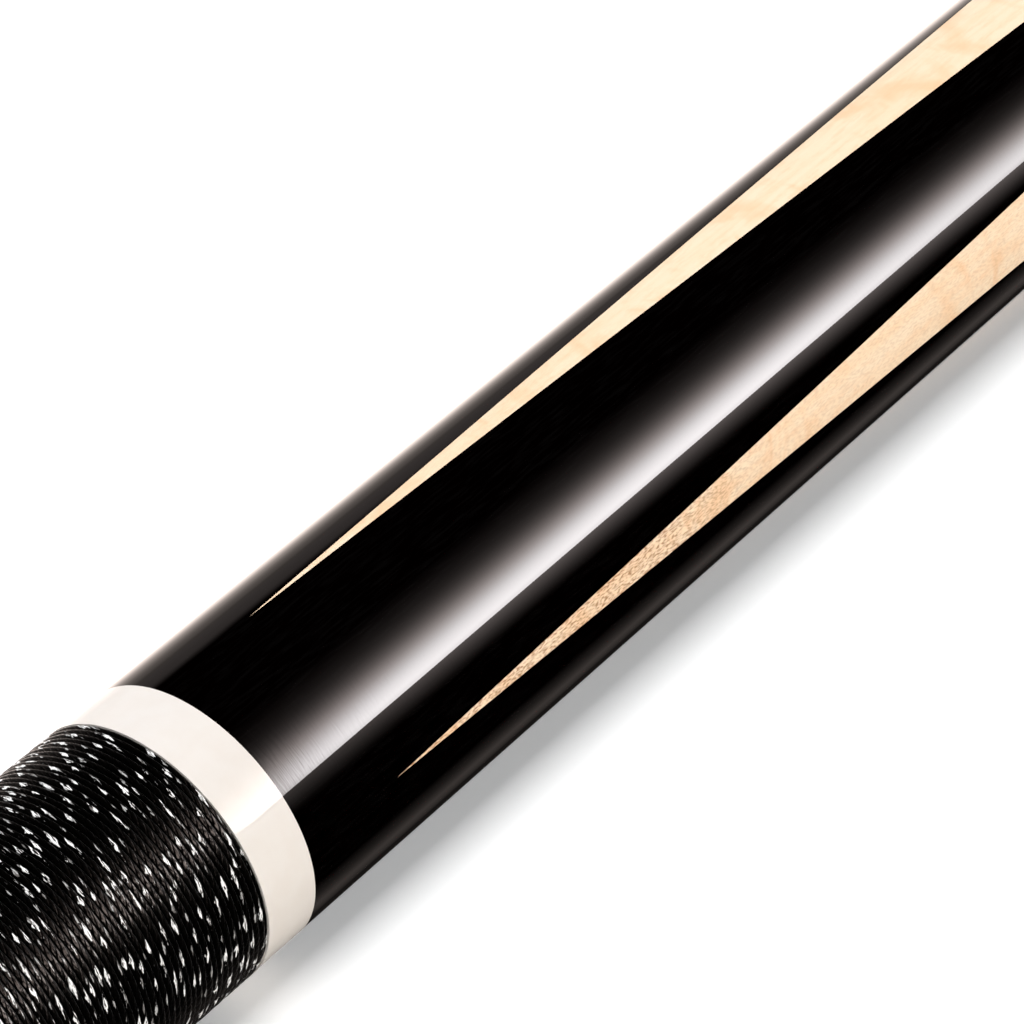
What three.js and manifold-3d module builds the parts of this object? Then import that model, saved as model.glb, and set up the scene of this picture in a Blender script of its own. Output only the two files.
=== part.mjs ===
import * as THREE from 'three';
import { mergeVertices } from 'three/addons/utils/BufferGeometryUtils.js';
import Module from 'manifold-3d';

// A two-piece pool cue, in millimetres. It lies with its axis along +X, from the bumper to the tip.
// The origin is the middle of the bumper's flat end, and +Z is up.

const wasm = await Module();
wasm.setup();

// Driving dimensions
const buttLength = 736.6;
const shaftLength = 736.6;
const capRadius = 15.875;
const jointRadius = 10.8;
const ferruleRadius = 6.4;

// Fits: a glued seam, and the gap round a piece that turns or screws
const glueLine = 0.05;
const runningGap = 0.3;

// Bumper, with a stud moulded into it
const bumperLength = 11;
const bumperSeatRadius = 14.8;
const bumperFaceRadius = 13.9;
const bumperEdgeRound = 2.6;
const studRadius = 6.1;
const studReach = 11;
const studHeadRadius = 9;
const studHeadThickness = 2.5;
const studHeadCover = 2.2;
const capInsertWall = 2.2;
const capInsertLength = 11;

// Butt cap, its ring and the butt sleeve with its weight bolt
const capLength = 25;
const capEdgeRound = 1.6;
const capRingWidth = 2.5;
const sleeveLength = 86.5;
const sleeveTenonRadius = 10.6;
const sleeveTenonLength = 7;
const weightBoreDepth = 52;
const weightBoltLength = 40;
const weightKeyFlats = 6.35;
const weightKeyDepth = 6;

// Handle: a core with a tenon at each end, a ring at each end and the thread wrap
const handleRingWidth = 5.8;
const wrapLength = 304.8;
const wrapDepth = 0.65;
const wrapEdgeRound = 0.32;
const rearTenonLength = 20;
const frontTenonLength = 9;
const handleTenonWall = 4.2;
const handleScrewRadius = 4.76;
const handleScrewHold = 30;

// Splice: four black prongs let into the maple. They start ahead of the front ring's black base,
// and their points end short of the joint's trim ring.
const prongCount = 4;
const spliceLead = 11.2;
const pointSetback = 38.9;
const spliceTurn = THREE.MathUtils.degToRad(28.5);

// Joint: collars, trim rings, the pin in the butt and the insert in the shaft
const jointCollarLength = 25;
const shaftCollarLength = 17;
const jointTrimWidth = 2.5;
const collarEdgeBreak = 0.25;
const pinRadius = 4.76;
const pinReach = 28;
const pinSetDepth = 45;
const pinNoseRadius = 3.6;
const pinNoseLength = 6;
const pinNoseChamfer = 0.9;
const shaftInsertWall = 1.4;
const shaftInsertLength = 30;
const jointTenonWall = 1.5;

// Shaft end: the straight stretch, the ferrule on its tenon, the pad and the tip
const straightLength = 254;
const taperPower = 1.3;
const ferruleLength = 20.5;
const ferruleTenonRadius = 4.2;
const ferruleTenonLength = 13;
const padThickness = 0.8;
const tipSideLength = 3.7;
const tipCrownRadius = 10.6;
const tipBulge = 0.12;

// Facets round the axis, and steps along an arc or a curved taper
const roundFacets = 48;
const arcSteps = 5;
const taperSteps = 12;
const cutOverrun = 2;

// Finishes
const black = { color: 0x060606, roughness: 0.08, metalness: 0 };
const white = { color: 0xf4eee4, roughness: 0.12, metalness: 0 };
const maple = { color: 0xf2d9b0, roughness: 0.15, metalness: 0 };
const bareMaple = { color: 0xe8cfa6, roughness: 0.45, metalness: 0 };
const linen = { color: 0x16140f, roughness: 0.55, metalness: 0 };
const rubber = { color: 0x111111, roughness: 0.8, metalness: 0 };
const steel = { color: 0xb9bcc0, roughness: 0.3, metalness: 1 };
const brass = { color: 0xc9a350, roughness: 0.3, metalness: 1 };
const nylon = { color: 0xd9d6cb, roughness: 0.5, metalness: 0 };
const fibre = { color: 0x7a2a22, roughness: 0.6, metalness: 0 };
const leather = { color: 0x7d5534, roughness: 0.7, metalness: 0 };

// Stations along the butt, from the cap's rear face
const sleeveStart = capLength + capRingWidth;
const rearRingStart = sleeveStart + sleeveLength;
const wrapStart = rearRingStart + handleRingWidth;
const frontRingStart = wrapStart + wrapLength;
const forearmStart = frontRingStart + handleRingWidth;
const jointCollarStart = buttLength - jointCollarLength;
const jointTrimStart = jointCollarStart - jointTrimWidth;
const forearmLength = jointTrimStart - forearmStart;

// Stations along the shaft, from the joint face
const crownRise = tipCrownRadius - Math.sqrt(tipCrownRadius ** 2 - ferruleRadius ** 2);
const tipStart = shaftLength - tipSideLength - crownRise;
const padStart = tipStart - padThickness;
const ferruleStart = padStart - ferruleLength;
const taperEnd = ferruleStart - straightLength;
const shaftWoodStart = shaftCollarLength + jointTrimWidth;

// Radii that follow from what fits inside what
const weightBoreRadius = studRadius + runningGap;
const capInsertRadius = weightBoreRadius + capInsertWall;
const handleTenonRadius = handleScrewRadius + glueLine + handleTenonWall;
const shaftInsertBore = pinRadius + runningGap;
const shaftInsertRadius = shaftInsertBore + shaftInsertWall;
const jointTenonRadius = shaftInsertRadius + runningGap + jointTenonWall;

// The butt tapers in one straight line from the cap to the joint.
function buttRadius(station) {
  return capRadius + (jointRadius - capRadius) * station / buttLength;
}

// The shaft tapers in a long hollow curve and then runs straight up to the ferrule.
function shaftRadius(station) {
  const left = Math.max(0, 1 - station / taperEnd);
  return ferruleRadius + (jointRadius - ferruleRadius) * left ** taperPower;
}

// Points of an arc in an outline. Angles run from the axis direction towards the outside.
function arc(centreAlong, centreRadius, radius, from, to) {
  const points = [];
  for (let step = 0; step <= arcSteps; step += 1) {
    const angle = from + (to - from) * step / arcSteps;
    points.push([centreAlong + radius * Math.cos(angle), centreRadius + radius * Math.sin(angle)]);
  }
  return points;
}

// A turned solid about +X, from an outline of [distance along the axis, radius] points.
// The outline starts and ends on the axis, or goes once round a ring's section.
// The facets are set so that one of them faces straight down.
function turned(outline) {
  const profile = outline.map(([along, radius]) => new THREE.Vector2(radius, along));
  if (outline[0][1] > 0) profile.push(profile[0].clone());
  const geometry = new THREE.LatheGeometry(profile, roundFacets, Math.PI / roundFacets);
  const axisToX = new THREE.Matrix4().set(
    0, 1, 0, 0,
    0, 0, 1, 0,
    1, 0, 0, 0,
    0, 0, 0, 1,
  );
  return geometry.applyMatrix4(axisToX);
}

// A ring or collar of the butt, flush with its taper, round a tenon of the given radius.
function buttSleeve(start, length, tenonRadius) {
  const bore = tenonRadius + glueLine;
  return turned([
    [0, buttRadius(start)],
    [length, buttRadius(start + length)],
    [length, bore],
    [0, bore],
  ]);
}

// A plain turned rod along the axis.
function rod(start, end, radius) {
  return turned([[start, 0], [start, radius], [end, radius], [end, 0]]);
}

function solidOf(geometry) {
  const plain = geometry.clone();
  plain.deleteAttribute('normal');
  plain.deleteAttribute('uv');
  const merged = mergeVertices(plain);
  const corners = merged.index.array;
  const kept = [];
  for (let at = 0; at < corners.length; at += 3) {
    const [a, b, c] = corners.slice(at, at + 3);
    if (a !== b && b !== c && c !== a) kept.push(a, b, c);
  }
  return new wasm.Manifold(new wasm.Mesh({
    numProp: 3,
    vertProperties: Float32Array.from(merged.attributes.position.array),
    triVerts: Uint32Array.from(kept),
  }));
}

function geometryOf(solid) {
  const mesh = solid.getMesh();
  const geometry = new THREE.BufferGeometry();
  geometry.setAttribute('position', new THREE.BufferAttribute(mesh.vertProperties, 3));
  geometry.setIndex(new THREE.BufferAttribute(mesh.triVerts, 1));
  geometry.computeVertexNormals();
  return geometry;
}

function piece(name, geometry, finish, station) {
  const mesh = new THREE.Mesh(geometry, new THREE.MeshStandardMaterial(finish));
  mesh.name = name;
  mesh.position.x = station;
  return mesh;
}

// Bumper: a rubber button with a rounded edge, moulded round the head of its stud.
const studHeadEnd = studHeadCover + studHeadThickness;

function bumper() {
  const edgeCentre = bumperFaceRadius - bumperEdgeRound;
  return turned([
    [0, 0],
    ...arc(bumperEdgeRound, edgeCentre, bumperEdgeRound, Math.PI, Math.PI / 2),
    [bumperLength, bumperSeatRadius],
    [bumperLength, studRadius + runningGap],
    [studHeadEnd + runningGap, studRadius + runningGap],
    [studHeadEnd + runningGap, studHeadRadius + runningGap],
    [studHeadCover - runningGap, studHeadRadius + runningGap],
    [studHeadCover - runningGap, 0],
  ]);
}

function bumperStud() {
  return turned([
    [studHeadCover, 0],
    [studHeadCover, studHeadRadius],
    [studHeadEnd, studHeadRadius],
    [studHeadEnd, studRadius],
    [bumperLength + studReach, studRadius],
    [bumperLength + studReach, 0],
  ]);
}

function capInsert() {
  return turned([
    [0, capInsertRadius],
    [capInsertLength, capInsertRadius],
    [capInsertLength, weightBoreRadius],
    [0, weightBoreRadius],
  ]);
}

// Butt cap: rounded at the rear edge, with a seat for the insert and a socket for the sleeve's tenon.
function buttCap() {
  const seatDepth = runningGap + capInsertLength;
  const socketFloor = capLength - sleeveTenonLength - glueLine;
  const socketRadius = sleeveTenonRadius + glueLine;
  return turned([
    ...arc(capEdgeRound, capRadius - capEdgeRound, capEdgeRound, Math.PI, Math.PI / 2),
    [capLength, buttRadius(capLength)],
    [capLength, socketRadius],
    [socketFloor, socketRadius],
    [socketFloor, weightBoreRadius],
    [seatDepth, weightBoreRadius],
    [seatDepth, capInsertRadius + glueLine],
    [0, capInsertRadius + glueLine],
  ]);
}

// Butt sleeve: a tenon to the rear, a bore for the weight bolt and a socket for the handle.
function sleeve() {
  const tenonEnd = capRingWidth + sleeveTenonLength;
  const socketFloor = sleeveLength - rearTenonLength - glueLine;
  const socketRadius = handleTenonRadius + glueLine;
  const behind = turned([
    [-tenonEnd, 0],
    [-tenonEnd, sleeveTenonRadius],
    [0, sleeveTenonRadius],
    [0, buttRadius(sleeveStart)],
    [sleeveLength, buttRadius(rearRingStart)],
    [sleeveLength, socketRadius],
    [socketFloor, socketRadius],
    [socketFloor, 0],
  ]);
  const bore = rod(-tenonEnd - cutOverrun, weightBoreDepth, weightBoreRadius);
  return geometryOf(solidOf(behind).subtract(solidOf(bore)));
}

// Weight bolt: a headless steel bolt with a six-sided key hole in its rear end.
function weightBolt() {
  const keyRadius = weightKeyFlats / Math.sqrt(3);
  const hexagon = new THREE.Shape();
  for (let corner = 0; corner < 6; corner += 1) {
    const angle = corner * Math.PI / 3;
    const place = [keyRadius * Math.cos(angle), keyRadius * Math.sin(angle)];
    if (corner === 0) hexagon.moveTo(...place);
    else hexagon.lineTo(...place);
  }
  const keyHole = new THREE.ExtrudeGeometry(hexagon, {
    depth: weightKeyDepth + cutOverrun,
    bevelEnabled: false,
  });
  keyHole.rotateY(Math.PI / 2);
  keyHole.translate(-cutOverrun, 0, 0);
  return geometryOf(solidOf(rod(0, weightBoltLength, studRadius)).subtract(solidOf(keyHole)));
}

// Handle core: turned down under the wrap, with tenons that carry both rings and enter what is
// glued on at each end. The front tenon is bored for the inner screw.
function handleCore() {
  const rearEnd = -handleRingWidth - rearTenonLength;
  const frontEnd = wrapLength + handleRingWidth + frontTenonLength;
  const bore = handleScrewRadius + glueLine;
  return turned([
    [rearEnd, 0],
    [rearEnd, handleTenonRadius],
    [0, handleTenonRadius],
    [0, buttRadius(wrapStart) - wrapDepth],
    [wrapLength, buttRadius(frontRingStart) - wrapDepth],
    [wrapLength, handleTenonRadius],
    [frontEnd, handleTenonRadius],
    [frontEnd, bore],
    [frontEnd - handleScrewHold - glueLine, bore],
    [frontEnd - handleScrewHold - glueLine, 0],
  ]);
}

// Thread wrap: a close winding, level with the rings and rounded where its end turns lie.
function linenWrap() {
  const rearRadius = buttRadius(wrapStart);
  const frontRadius = buttRadius(frontRingStart);
  const inner = wrapDepth - glueLine;
  const frontCentre = wrapLength - wrapEdgeRound;
  return turned([
    ...arc(wrapEdgeRound, rearRadius - wrapEdgeRound, wrapEdgeRound, Math.PI, Math.PI / 2),
    ...arc(frontCentre, frontRadius - wrapEdgeRound, wrapEdgeRound, Math.PI / 2, 0),
    [wrapLength, frontRadius - inner],
    [0, rearRadius - inner],
  ]);
}

// Splice. Each prong's inner edge is a square corner. It leaves the axis where the black base ends
// and rises in a straight line until it meets the surface at the prong's point, so the maple
// starts as four sharp fins between the prongs and thickens until it is the whole forearm.
const prongPoint = forearmLength - pointSetback;
const spliceSlope = buttRadius(forearmStart + prongPoint) / (prongPoint - spliceLead);

function prongSpace(index, inset) {
  const reach = capRadius + jointRadius;
  const corner = new THREE.Shape();
  corner.moveTo(0, 0);
  corner.lineTo(reach, reach);
  corner.lineTo(-reach, reach);
  const start = -cutOverrun;
  const length = prongPoint + cutOverrun - start;
  const geometry = new THREE.ExtrudeGeometry(corner, { depth: length, bevelEnabled: false });
  const turn = spliceTurn + index * 2 * Math.PI / prongCount;
  const outward = new THREE.Vector3(0, Math.cos(turn), Math.sin(turn));
  const sideways = new THREE.Vector3(0, Math.sin(turn), -Math.cos(turn));
  const rising = outward.clone().multiplyScalar(spliceSlope).add(new THREE.Vector3(1, 0, 0));
  const startDepth = spliceSlope * (start - spliceLead) - inset * Math.SQRT2;
  const place = new THREE.Matrix4().makeBasis(sideways, outward, rising);
  place.setPosition(start, outward.y * startDepth, outward.z * startDepth);
  return solidOf(geometry.applyMatrix4(place));
}

function allProngSpaces(inset) {
  let spaces = prongSpace(0, inset);
  for (let index = 1; index < prongCount; index += 1) spaces = spaces.add(prongSpace(index, inset));
  return spaces;
}

// The socket for the handle's tenon, and the bore for the inner screw beyond it.
function forearmBore() {
  const socketFloor = frontTenonLength + glueLine;
  const boreFloor = socketFloor + handleScrewHold + glueLine;
  return solidOf(turned([
    [-cutOverrun, 0],
    [-cutOverrun, handleTenonRadius + glueLine],
    [socketFloor, handleTenonRadius + glueLine],
    [socketFloor, handleScrewRadius + glueLine],
    [boreFloor, handleScrewRadius + glueLine],
    [boreFloor, 0],
  ]));
}

function forearmProngs() {
  const end = prongPoint + cutOverrun;
  const blank = turned([
    [0, 0],
    [0, buttRadius(forearmStart)],
    [end, buttRadius(forearmStart + end)],
    [end, 0],
  ]);
  return geometryOf(solidOf(blank).intersect(allProngSpaces(0)).subtract(forearmBore()));
}

function forearmCore() {
  const tenonEnd = forearmLength + jointTrimWidth + jointCollarLength - runningGap;
  const bore = pinRadius + glueLine;
  const blank = turned([
    [0, 0],
    [0, buttRadius(forearmStart)],
    [forearmLength, buttRadius(jointTrimStart)],
    [forearmLength, jointTenonRadius],
    [tenonEnd, jointTenonRadius],
    [tenonEnd, bore],
    [tenonEnd - pinSetDepth - glueLine, bore],
    [tenonEnd - pinSetDepth - glueLine, 0],
  ]);
  return geometryOf(solidOf(blank).subtract(allProngSpaces(glueLine)).subtract(forearmBore()));
}

// Joint collars, faced square at the joint with the edge just broken.
function jointCollar() {
  const bore = jointTenonRadius + glueLine;
  return turned([
    [0, buttRadius(jointCollarStart)],
    [jointCollarLength - collarEdgeBreak, buttRadius(buttLength - collarEdgeBreak)],
    [jointCollarLength, jointRadius - collarEdgeBreak],
    [jointCollarLength, bore],
    [0, bore],
  ]);
}

function shaftCollar() {
  const bore = jointTenonRadius + glueLine;
  return turned([
    [0, jointRadius - collarEdgeBreak],
    [collarEdgeBreak, shaftRadius(collarEdgeBreak)],
    [shaftCollarLength, shaftRadius(shaftCollarLength)],
    [shaftCollarLength, bore],
    [0, bore],
  ]);
}

function shaftTrimRing() {
  const bore = jointTenonRadius + glueLine;
  return turned([
    [0, shaftRadius(shaftCollarLength)],
    [jointTrimWidth, shaftRadius(shaftWoodStart)],
    [jointTrimWidth, bore],
    [0, bore],
  ]);
}

// Joint pin: set in the forearm, with a plain nose that leads it into the shaft's insert.
function jointPin() {
  const noseStart = pinReach - pinNoseLength;
  const tipEdge = pinNoseRadius - pinNoseChamfer;
  return turned([
    [-runningGap - pinSetDepth, 0],
    [-runningGap - pinSetDepth, pinRadius],
    [noseStart - pinNoseChamfer, pinRadius],
    [noseStart, pinNoseRadius],
    [pinReach - pinNoseChamfer, pinNoseRadius],
    [pinReach, tipEdge],
    [pinReach, 0],
  ]);
}

function shaftInsert() {
  return turned([
    [0, shaftInsertRadius],
    [shaftInsertLength, shaftInsertRadius],
    [shaftInsertLength, shaftInsertBore],
    [0, shaftInsertBore],
  ]);
}

// Shaft: a tenon behind, bored for the insert, the taper, and a tenon ahead for the ferrule.
function shaft() {
  const taper = [];
  for (let step = 0; step <= taperSteps; step += 1) {
    const along = shaftWoodStart + (taperEnd - shaftWoodStart) * step / taperSteps;
    taper.push([along, shaftRadius(along)]);
  }
  const bore = shaftInsertRadius + runningGap;
  const boreFloor = runningGap + shaftInsertLength + runningGap;
  return turned([
    [runningGap, bore],
    [runningGap, jointTenonRadius],
    [shaftWoodStart, jointTenonRadius],
    ...taper,
    [ferruleStart, ferruleRadius],
    [ferruleStart, ferruleTenonRadius],
    [ferruleStart + ferruleTenonLength, ferruleTenonRadius],
    [ferruleStart + ferruleTenonLength, 0],
    [boreFloor, 0],
    [boreFloor, bore],
  ]);
}

function ferrule() {
  const bore = ferruleTenonRadius + glueLine;
  const floor = ferruleTenonLength + glueLine;
  return turned([
    [0, ferruleRadius],
    [ferruleLength, ferruleRadius],
    [ferruleLength, 0],
    [floor, 0],
    [floor, bore],
    [0, bore],
  ]);
}

// Tip: a leather button, pressed out a little at the middle of its side, with a round crown.
function tip() {
  const crown = [];
  const crownEdge = Math.asin(ferruleRadius / tipCrownRadius);
  const crownCentre = tipSideLength + crownRise - tipCrownRadius;
  for (let step = 0; step <= arcSteps; step += 1) {
    const angle = crownEdge * (1 - step / arcSteps);
    const radius = step === arcSteps ? 0 : tipCrownRadius * Math.sin(angle);
    crown.push([crownCentre + tipCrownRadius * Math.cos(angle), radius]);
  }
  return turned([
    [0, 0],
    [0, ferruleRadius],
    [tipSideLength / 2, ferruleRadius + tipBulge],
    ...crown,
  ]);
}

const bumperGroup = new THREE.Group();
bumperGroup.add(
  piece('bumper', bumper(), rubber, 0),
  piece('bumper_stud', bumperStud(), nylon, 0),
);

const weightBoltStart = sleeveStart + weightBoreDepth - runningGap - weightBoltLength;
const handleScrewStart = forearmStart + frontTenonLength - handleScrewHold;

const buttGroup = new THREE.Group();
buttGroup.position.x = bumperLength;
buttGroup.add(
  piece('bumper_insert', capInsert(), brass, runningGap),
  piece('butt_cap', buttCap(), black, 0),
  piece('cap_ring', buttSleeve(capLength, capRingWidth, sleeveTenonRadius), white, capLength),
  piece('butt_sleeve', sleeve(), black, sleeveStart),
  piece('weight_bolt', weightBolt(), steel, weightBoltStart),
  piece('rear_ring', buttSleeve(rearRingStart, handleRingWidth, handleTenonRadius), white, rearRingStart),
  piece('handle_core', handleCore(), bareMaple, wrapStart),
  piece('linen_wrap', linenWrap(), linen, wrapStart),
  piece('front_ring', buttSleeve(frontRingStart, handleRingWidth, handleTenonRadius), white, frontRingStart),
  piece('handle_screw', rod(0, handleScrewHold * 2, handleScrewRadius), steel, handleScrewStart),
  piece('forearm_prongs', forearmProngs(), black, forearmStart),
  piece('forearm_core', forearmCore(), maple, forearmStart),
  piece('joint_trim_ring', buttSleeve(jointTrimStart, jointTrimWidth, jointTenonRadius), white, jointTrimStart),
  piece('joint_collar', jointCollar(), black, jointCollarStart),
  piece('joint_pin', jointPin(), steel, buttLength),
);

const shaftGroup = new THREE.Group();
shaftGroup.position.x = bumperLength + buttLength;
shaftGroup.add(
  piece('shaft_collar', shaftCollar(), black, 0),
  piece('shaft_trim_ring', shaftTrimRing(), white, shaftCollarLength),
  piece('shaft_insert', shaftInsert(), brass, runningGap),
  piece('shaft', shaft(), maple, 0),
  piece('ferrule', ferrule(), white, ferruleStart),
  piece('tip_pad', rod(0, padThickness, ferruleRadius), fibre, padStart),
  piece('tip', tip(), leather, tipStart),
);

const group = new THREE.Group();
group.add(bumperGroup, buttGroup, shaftGroup);

export default group;
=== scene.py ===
import math
from functools import partial

import bpy
import numpy as np
from mathutils import Matrix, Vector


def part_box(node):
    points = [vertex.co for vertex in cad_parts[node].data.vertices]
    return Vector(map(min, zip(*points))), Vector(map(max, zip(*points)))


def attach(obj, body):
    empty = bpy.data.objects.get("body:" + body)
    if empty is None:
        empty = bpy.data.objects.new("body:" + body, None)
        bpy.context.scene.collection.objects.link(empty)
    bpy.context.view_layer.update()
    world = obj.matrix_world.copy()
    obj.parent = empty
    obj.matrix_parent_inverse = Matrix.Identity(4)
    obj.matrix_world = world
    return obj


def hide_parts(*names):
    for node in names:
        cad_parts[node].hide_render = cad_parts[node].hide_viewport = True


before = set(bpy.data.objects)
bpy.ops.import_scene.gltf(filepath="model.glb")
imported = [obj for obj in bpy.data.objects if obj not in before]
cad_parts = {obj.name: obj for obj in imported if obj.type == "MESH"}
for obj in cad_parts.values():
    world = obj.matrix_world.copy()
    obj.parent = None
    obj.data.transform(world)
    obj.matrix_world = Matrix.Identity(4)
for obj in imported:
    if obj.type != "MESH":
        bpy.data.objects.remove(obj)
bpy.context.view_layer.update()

# A two-piece pool cue lying on a pale studio floor. Lengths in this file are in millimetres and are
# turned to metres where meshes, lamps and the camera are made. The cue's axis is +X, from bumper to
# tip. Angles round it run from +Y towards +Z.

MM = 0.001

# Sizes of the cue

# The solids have 48 facets, so a true circle that stays inside them is smaller by this much.
INSIDE_FACETS = math.cos(math.pi / 48)
CAP_RADIUS = 15.875 * INSIDE_FACETS
JOINT_RADIUS = 10.8 * INSIDE_FACETS
FERRULE_RADIUS = 6.4 * INSIDE_FACETS
BUTT_LENGTH = 736.6
TAPER_POWER = 1.3
STRAIGHT_SHAFT = 254.0
GLUE_LINE = 0.05
RUNNING_GAP = 0.3
ROUND = 192
SHARP_EDGE = math.radians(50)
ARC_STEP = math.radians(15)
ON_AXIS = 1e-6


def ends(node):
    """Where a CAD node starts and ends along the cue."""
    low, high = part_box(node)
    return low[0] / MM, high[0] / MM


def reach(node):
    """The greatest radius of a CAD node."""
    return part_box(node)[1][1] / MM


CAP_START = ends("butt_cap")[0]
JOINT_FACE = ends("joint_collar")[1]
SHAFT_WOOD_START = ends("shaft_trim_ring")[1]
FERRULE_START = ends("ferrule")[0]
TAPER_END = FERRULE_START - STRAIGHT_SHAFT


def butt_radius(x):
    """The butt tapers in one straight line from the cap to the joint."""
    return CAP_RADIUS + (JOINT_RADIUS - CAP_RADIUS) * (x - CAP_START) / BUTT_LENGTH


def shaft_radius(x):
    """The shaft tapers in a long hollow curve and then runs straight to the ferrule."""
    left = max(0.0, 1 - (x - JOINT_FACE) / (TAPER_END - JOINT_FACE))
    return FERRULE_RADIUS + (JOINT_RADIUS - FERRULE_RADIUS) * left ** TAPER_POWER


# Meshes

def shown(name, data):
    """An object of the scene with this mesh, lamp or camera."""
    made = bpy.data.objects.new(name, data)
    bpy.context.collection.objects.link(made)
    return made


class Shell:
    """The points, faces and corner normals of one piece, gathered row by row."""

    def __init__(self):
        self.points, self.faces, self.normals = [], [], []

    def row(self, places):
        first = len(self.points)
        self.points.extend(places)
        return list(range(first, first + len(places)))

    def ring(self, places):
        row = self.row(places)
        return row + row[:1]

    def band(self, rear, front, rear_normals=None, front_normals=None):
        """Faces between two rows of points, flat where no normals are given. A face with a doubled
        corner becomes a triangle."""
        for at in range(len(rear) - 1):
            corners = [rear[at], rear[at + 1], front[at + 1], front[at]]
            leaning = [None] * 4 if rear_normals is None else [
                rear_normals[at], rear_normals[at + 1],
                front_normals[at + 1], front_normals[at],
            ]
            kept = [i for i in range(4) if corners[i] != corners[i - 1]]
            if len(kept) > 2:
                self.faces.append([corners[i] for i in kept])
                self.normals.extend(leaning[i] for i in kept)

    def piece(self, name, own_normals=True):
        mesh = bpy.data.meshes.new(name)
        mesh.from_pydata([(x * MM, y * MM, z * MM) for x, y, z in self.points], [], self.faces)
        mesh.shade_smooth()
        if own_normals:
            flat = [tuple(face.normal) for face in mesh.polygons for _ in face.vertices]
            mesh.normals_split_custom_set([own or face for own, face in zip(self.normals, flat)])
        else:
            mesh.set_sharp_from_angle(angle=SHARP_EDGE)
        return shown(name, mesh)


def leftward(direction):
    """The normal on the left of a direction in an outline of [x, radius] points."""
    return -direction[1], direction[0]


def outline_points(outline):
    """The outline's points with the normals before and after each. It runs forward along the
    outside and back along the bore. A third number rounds the corner by that radius, and 0 makes
    the outline run smoothly through the point."""
    count = len(outline)
    closed = outline[0][1] > 0
    found = []
    for at, (x, r, *edge) in enumerate(outline):
        here = np.array([x, r], float)
        before = here - np.array(outline[at - 1][:2], float)
        after = np.array(outline[(at + 1) % count][:2], float) - here
        before, after = before / np.linalg.norm(before), after / np.linalg.norm(after)
        if not closed and at == 0:
            before = after
        if not closed and at == count - 1:
            after = before
        if not edge:
            found.append((here, leftward(before), leftward(after)))
            continue
        if edge[0] == 0:
            through = (before + after) / np.linalg.norm(before + after)
            found.append((here, leftward(through), leftward(through)))
            continue
        turn = math.atan2(before[0] * after[1] - before[1] * after[0], before @ after)
        start = here - before * edge[0] * math.tan(abs(turn) / 2)
        centre = start + np.array(leftward(before)) * math.copysign(edge[0], turn)
        steps = max(2, math.ceil(abs(turn) / ARC_STEP))
        for step in range(steps + 1):
            angle = turn * step / steps
            cosine, sine = math.cos(angle), math.sin(angle)
            spin = np.array([[cosine, -sine], [sine, cosine]])
            side = leftward(spin @ before)
            found.append((centre + spin @ (start - centre), side, side))
    return found + found[:1] if closed else found


def around(angles, x, radius):
    """Points round the axis."""
    return [(x, radius * math.cos(a), radius * math.sin(a)) for a in angles]


def turned(name, outline, cut=None):
    """A turned piece. cut(x, radius, angle) gives the radius where a thread is cut in it."""
    shell = Shell()
    angles = [2 * math.pi * step / ROUND for step in range(ROUND)]
    points = outline_points(outline)
    rows = []
    for (x, r), _, _ in points:
        if r < ON_AXIS:
            rows.append(shell.row([(x, 0.0, 0.0)]) * (ROUND + 1))
            continue
        rows.append(shell.ring([around([a], x, cut(x, r, a) if cut else r)[0] for a in angles]))
    if outline[0][1] > 0:
        rows[-1] = rows[0]
    angles.append(0.0)
    for at in range(len(points) - 1):
        rear, front = [
            [(n[0], n[1] * math.cos(a), n[1] * math.sin(a)) for a in angles]
            for n in (points[at][2], points[at + 1][1])
        ]
        shell.band(rows[at], rows[at + 1], rear, front)
    return shell.piece(name, own_normals=cut is None)


def place(piece, body, slot, coat, node):
    """Gives a piece its body and its finish, and hides the CAD node it stands for. slot is not
    used.
    """
    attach(piece, body)
    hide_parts(node)
    piece.data.materials.append(coat)


# Finishes

def tint(code):
    """An sRGB hex colour as linear red, green, blue and alpha."""
    parts = [int(code[at:at + 2], 16) / 255 for at in (1, 3, 5)]
    linear = [p / 12.92 if p <= 0.04045 else ((p + 0.055) / 1.055) ** 2.4 for p in parts]
    return (*linear, 1.0)


def add(tree, kind, inputs=None, **settings):
    """Adds a node. settings are its own, and inputs gives a socket a value or a node's output."""
    node = tree.nodes.new(kind)
    for name, value in settings.items():
        setattr(node, name, value)
    for socket, value in (inputs or {}).items():
        if isinstance(value, bpy.types.NodeSocket):
            tree.links.new(value, node.inputs[socket])
        else:
            node.inputs[socket].default_value = value
    return node


def finish(name, sockets):
    """A material with these values on its shader. Returns it with its tree and shader."""
    made = bpy.data.materials.new(name)
    made.use_nodes = True
    shader = made.node_tree.nodes["Principled BSDF"]
    for socket, value in sockets.items():
        shader.inputs[socket].default_value = value
    return made, made.node_tree, shader


def feed(shader, socket, value):
    """Links a node's output to a socket of the shader."""
    shader.id_data.links.new(value, shader.inputs[socket])


def sums(operation, *values, clamp=False):
    """Arithmetic on numbers and nodes' outputs, in the tree that the outputs are in."""
    tree = next(value for value in values if isinstance(value, bpy.types.NodeSocket)).id_data
    node = add(
        tree, "ShaderNodeMath", dict(enumerate(values)), operation=operation, use_clamp=clamp
    )
    return node.outputs[0]


plus, minus, times, over, larger, power, size_of, sine, past_whole = (
    partial(sums, operation) for operation in (
        "ADD", "SUBTRACT", "MULTIPLY", "DIVIDE", "MAXIMUM", "POWER", "ABSOLUTE", "SINE", "FRACT",
    )
)


def vector(operation, *values):
    """The same for places and directions."""
    return add(
        values[0].id_data, "ShaderNodeVectorMath", dict(enumerate(values)), operation=operation
    ).outputs["Value" if operation == "LENGTH" else "Vector"]


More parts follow.
